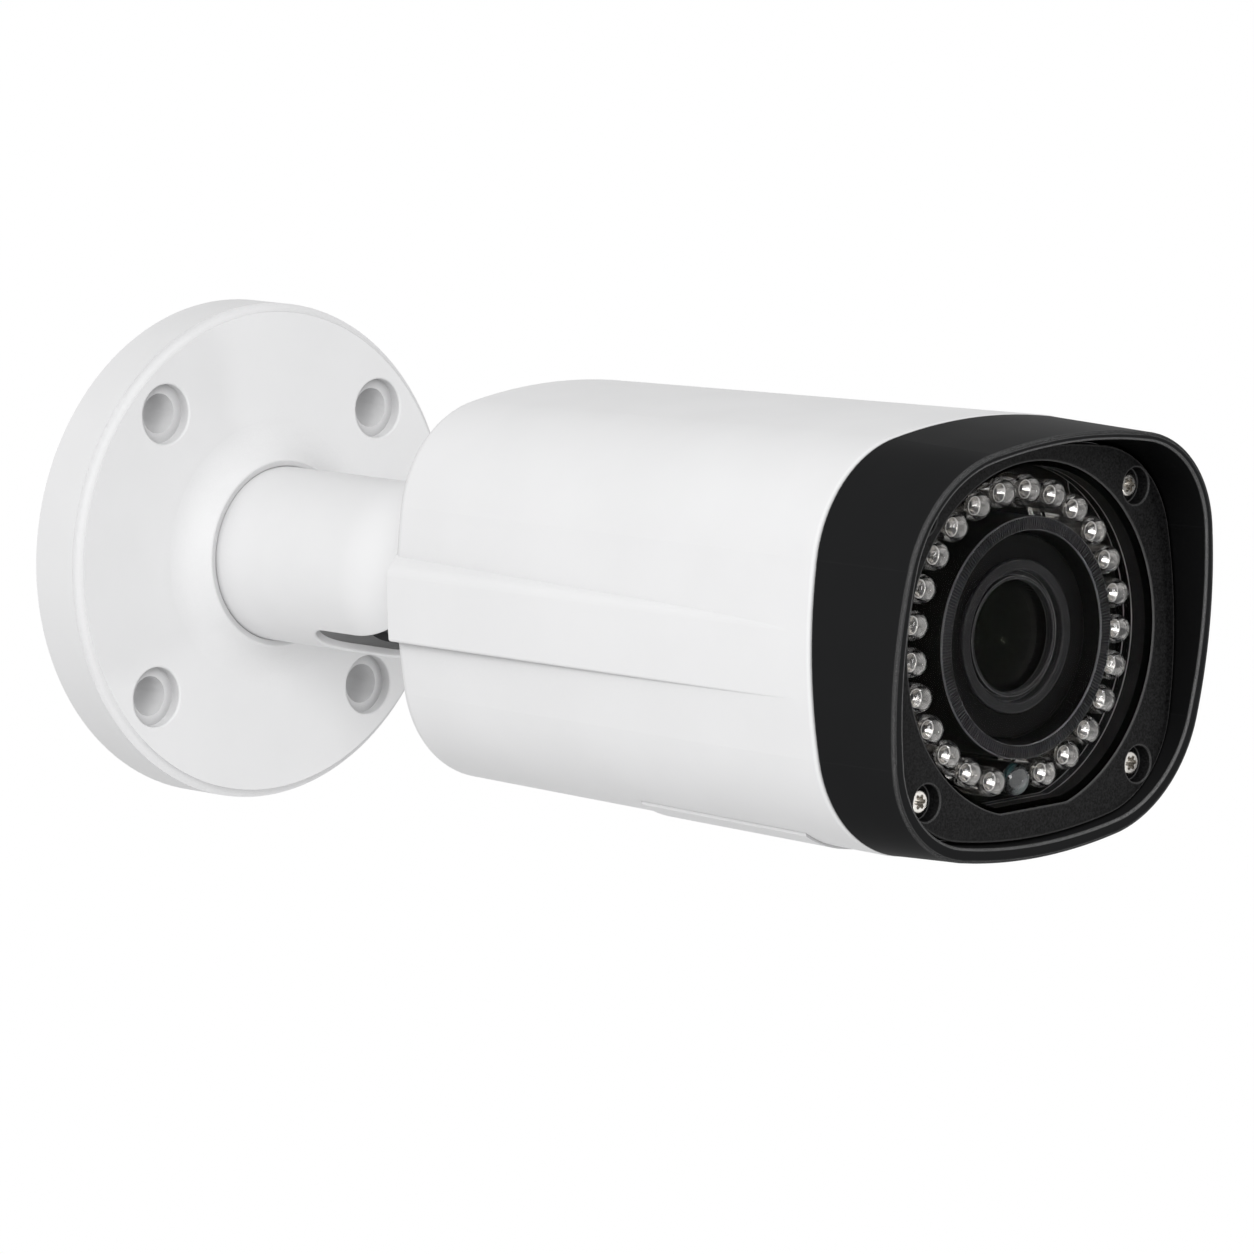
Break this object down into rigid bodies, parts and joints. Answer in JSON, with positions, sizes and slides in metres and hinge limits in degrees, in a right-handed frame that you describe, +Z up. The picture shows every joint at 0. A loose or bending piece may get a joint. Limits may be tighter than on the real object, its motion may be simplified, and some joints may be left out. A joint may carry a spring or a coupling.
{
  "type": "bullet security camera",
  "caption": "Outdoor bullet camera with a hooded square body, ring of infrared lamps round the lens, and a round wall base with a swivelling, tilting arm.",
  "frame": {"origin": "centre of the wall base, on the plane of the wall", "axes": "+Y into the wall, -Y the way the camera looks, +Z up, +X to the left of someone facing the lens"},
  "size_m": [0.09, 0.2119, 0.09],
  "materials": {
    "white_paint": "satin white powder paint",
    "dark_casting": "matte dark grey coat on a casting",
    "black_paint": "satin black moulding",
    "black_texture": "black moulding with a fine spark texture",
    "black_rubber": "matte black rubber",
    "steel": "bright zinc plate",
    "friction_plastic": "natural acetal",
    "window": "clear flat glass",
    "lamp_glass": "clear cast epoxy",
    "sensor_cell": "glossy grey-green lens",
    "shield_grey": "grey, finely ribbed",
    "lens_black": "matte black",
    "ring_grey": "dark grey anodised",
    "coated_glass": "coated optical glass",
    "board": "dark solder mask",
    "chip_black": "moulded black package",
    "connector_white": "off-white nylon",
    "brass": "turned brass",
    "clear_glass": "clear flat glass",
    "filter_glass": "pale blue-green filter glass"
  },
  "bodies": {
    "base": {"mounting_base": "white_paint", "base_seal": "black_rubber", "neck_retaining_ring": "steel", "retaining_screws": "steel", "pan_washer": "friction_plastic"},
    "neck": {"swivel_neck": "white_paint", "tilt_screw": "steel"},
    "arm": {"tilt_arm": "dark_casting", "roll_seal": "black_rubber", "roll_washer": "friction_plastic", "arm_lock_nut": "steel", "cable_grommet": "black_rubber"},
    "camera": {"housing": "white_paint", "front_hood": "black_paint", "front_plate": "black_texture", "front_screws": "steel", "window_glass": "window", "window_gasket": "black_rubber", "front_seal": "black_rubber", "led_board": "board", "ir_leds": "lamp_glass", "light_sensor": "sensor_cell", "lens_shield": "shield_grey", "lens_barrel": "lens_black", "lens_front_ring": "ring_grey", "front_lens": "coated_glass", "inner_lens": "coated_glass", "iris_stop": "lens_black", "rear_lens": "coated_glass", "lens_mount": "lens_black", "lens_mount_screws": "steel", "image_sensor": "chip_black", "sensor_window": "clear_glass", "sensor_board": "board", "board_screws": "steel", "board_standoffs": "brass", "main_board": "board", "board_chips": "chip_black", "board_connectors": "connector_white", "access_cover": "white_paint", "access_gasket": "black_rubber", "access_screws": "steel", "io_board": "board", "io_board_screws": "steel", "card_slot": "steel", "reset_switch": "lens_black"},
    "zoom": {"zoom_ring": "lens_black", "zoom_lock_screw": "brass"},
    "focus": {"focus_ring": "lens_black", "focus_lock_screw": "brass"},
    "filter": {"filter_slide": "lens_black", "ir_cut_glass": "filter_glass", "clear_glass": "clear_glass"},
    "reset": {"reset_button": "connector_white"}
  },
  "joints": [
    {"name": "pan", "type": "hinge", "parent": "base", "child": "neck", "pos_m": [0, 0, 0], "axis": [0, 1, 0], "range_deg": [-180, 180]},
    {"name": "tilt", "type": "hinge", "parent": "neck", "child": "arm", "pos_m": [0, -0.048, 0], "axis": [0.866, 0, -0.5], "range_deg": [0, 80]},
    {"name": "roll", "type": "hinge", "parent": "arm", "child": "camera", "pos_m": [0, -0.0855, 0], "axis": [0, 1, 0], "range_deg": [-180, 180]},
    {"name": "zoom", "type": "hinge", "parent": "camera", "child": "zoom", "pos_m": [0, -0.1642, 0.0029], "axis": [0, 1, 0], "range_deg": [-45, 45]},
    {"name": "focus", "type": "hinge", "parent": "camera", "child": "focus", "pos_m": [0, -0.1802, 0.0029], "axis": [0, 1, 0], "range_deg": [-60, 60]},
    {"name": "filter_switch", "type": "slide", "parent": "camera", "child": "filter", "axis": [-1, 0, 0], "range_m": [0, 0.0112]},
    {"name": "reset_press", "type": "slide", "parent": "camera", "child": "reset", "axis": [0, 0, 1], "range_m": [0, 0.0003], "stiffness_N_per_m": 300}
  ]
}
